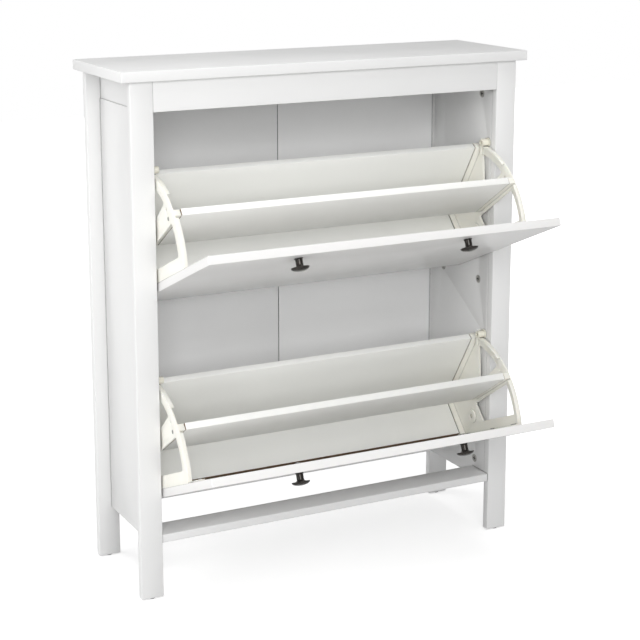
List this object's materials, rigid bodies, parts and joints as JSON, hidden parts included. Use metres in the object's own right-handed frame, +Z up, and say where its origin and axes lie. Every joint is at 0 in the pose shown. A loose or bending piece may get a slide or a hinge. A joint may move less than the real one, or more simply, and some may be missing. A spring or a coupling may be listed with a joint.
{
  "type": "shoe cabinet",
  "caption": "White tilt-flap shoe cabinet on flat legs with an overhanging top; flap doors swing out on plastic side frames that carry sloped shoe boards, with small dark knobs.",
  "frame": {"origin": "on the floor, under the middle of the cabinet's box with both flaps open", "axes": "+Z up, +Y from the flaps to the back of the cabinet, +X to the right of someone facing the flaps"},
  "size_m": [0.8, 0.4544, 0.94],
  "materials": {
    "white_lacquer": "satin white lacquer on board",
    "white_lacquer_doors": "semi-gloss white lacquer on board",
    "white_laminate": "smooth white laminate",
    "white_back_sheet": "matt white hardboard",
    "tape": "matt",
    "cream_plastic": "smooth moulded",
    "cream_plastic_fittings": "smooth moulded",
    "dark_bronze": "dark bronze, semi-gloss",
    "zinc_steel": "zinc plated",
    "cam_zinc": "die cast, dull",
    "grey_glide": "matt",
    "beech": "bare fluted beech"
  },
  "bodies": {
    "cabinet": {"back_panel_left": "white_back_sheet", "back_panel_nails": "zinc_steel", "back_panel_right": "white_back_sheet", "back_seam_tape": "tape", "cam_bolts": "zinc_steel", "cam_locks": "cam_zinc", "crossbar": "white_lacquer", "front_top_rail": "white_lacquer", "leg_front_left": "white_lacquer", "leg_front_right": "white_lacquer", "leg_glides": "grey_glide", "leg_rear_left": "white_lacquer", "leg_rear_right": "white_lacquer", "lower_pivot_pin_left": "cream_plastic_fittings", "lower_pivot_pin_right": "cream_plastic_fittings", "lower_stop_left": "cream_plastic_fittings", "lower_stop_right": "cream_plastic_fittings", "rail_dowels": "beech", "rear_bottom_rail": "white_lacquer", "rear_top_rail": "white_lacquer", "side_dowels": "beech", "side_panel_left": "white_lacquer", "side_panel_right": "white_lacquer", "side_rail_left": "white_lacquer", "side_rail_right": "white_lacquer", "stop_screws": "zinc_steel", "top_bracket_screws": "zinc_steel", "top_brackets": "zinc_steel", "top_panel": "white_lacquer", "upper_pivot_pin_left": "cream_plastic_fittings", "upper_pivot_pin_right": "cream_plastic_fittings", "upper_stop_left": "cream_plastic_fittings", "upper_stop_right": "cream_plastic_fittings"},
    "upper_flap": {"upper_door": "white_lacquer_doors", "upper_side_frame_left": "cream_plastic", "upper_side_frame_right": "cream_plastic", "upper_divider": "white_laminate", "upper_rear_board": "white_laminate", "upper_floor_board": "white_laminate", "upper_knob_left": "dark_bronze", "upper_knob_right": "dark_bronze", "upper_knob_screws": "zinc_steel", "upper_frame_screws": "zinc_steel", "upper_board_screws": "zinc_steel"},
    "lower_flap": {"lower_door": "white_lacquer_doors", "lower_side_frame_left": "cream_plastic", "lower_side_frame_right": "cream_plastic", "lower_divider": "white_laminate", "lower_rear_board": "white_laminate", "lower_floor_board": "white_laminate", "lower_knob_left": "dark_bronze", "lower_knob_right": "dark_bronze", "lower_knob_screws": "zinc_steel", "lower_frame_screws": "zinc_steel", "lower_board_screws": "zinc_steel"}
  },
  "joints": [
    {"name": "upper_flap_hinge", "type": "hinge", "parent": "cabinet", "child": "upper_flap", "pos_m": [0, 0.04318, 0.59461], "axis": [-1, 0, 0], "range_deg": [0, 67.3]},
    {"name": "lower_flap_hinge", "type": "hinge", "parent": "cabinet", "child": "lower_flap", "pos_m": [0, 0.04318, 0.22191], "axis": [-1, 0, 0], "range_deg": [0, 67.3]}
  ]
}
